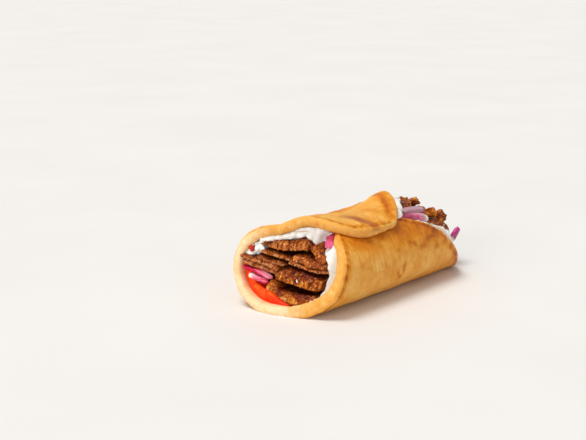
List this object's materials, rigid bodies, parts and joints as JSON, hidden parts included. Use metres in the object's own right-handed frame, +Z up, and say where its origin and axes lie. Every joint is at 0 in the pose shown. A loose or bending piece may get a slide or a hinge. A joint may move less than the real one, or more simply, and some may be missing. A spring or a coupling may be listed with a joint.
{
  "type": "gyro wrap",
  "caption": "Flatbread rolled round gyro meat, tomato, red onion and yogurt sauce, lying on its side with both mouths open.",
  "frame": {"origin": "bottom centre of the wrap's box, on the surface that it lies on", "axes": "+X from the front mouth to the far mouth, +Y to the side that the flap comes from, +Z up"},
  "size_m": [0.195, 0.0854, 0.0671],
  "materials": {
    "bread": "soft griddled flatbread, pale at its rounded rim, toasted golden brown with darker spots",
    "meat": "moist browned sliced meat with a grain and crisp darker edges",
    "yogurt_sauce": "thick glossy white yogurt sauce",
    "red_onion": "moist translucent pink and magenta onion",
    "tomato": "wet orange-red tomato"
  },
  "bodies": {
    "root": {"pita_bread": "bread", "tomato_wedge": "tomato", "yogurt_sauce": "yogurt_sauce", "tomato_piece": "tomato", "red_onion_front_1": "red_onion", "red_onion_front_2": "red_onion", "red_onion_front_3": "red_onion", "red_onion_far_1": "red_onion", "red_onion_far_2": "red_onion", "red_onion_far_3": "red_onion", "gyro_meat_front_1": "meat", "gyro_meat_front_2": "meat", "gyro_meat_front_3": "meat", "gyro_meat_front_4": "meat", "gyro_meat_front_5": "meat", "gyro_meat_front_6": "meat", "gyro_meat_front_7": "meat", "gyro_meat_front_8": "meat", "gyro_meat_front_9": "meat", "gyro_meat_front_10": "meat", "gyro_meat_far_1": "meat", "gyro_meat_far_2": "meat", "gyro_meat_far_3": "meat", "gyro_meat_far_4": "meat", "gyro_meat_far_5": "meat", "gyro_meat_far_6": "meat", "crisp_meat_scrap_1": "meat", "crisp_meat_scrap_2": "meat", "crisp_meat_scrap_3": "meat"}
  },
  "joints": []
}
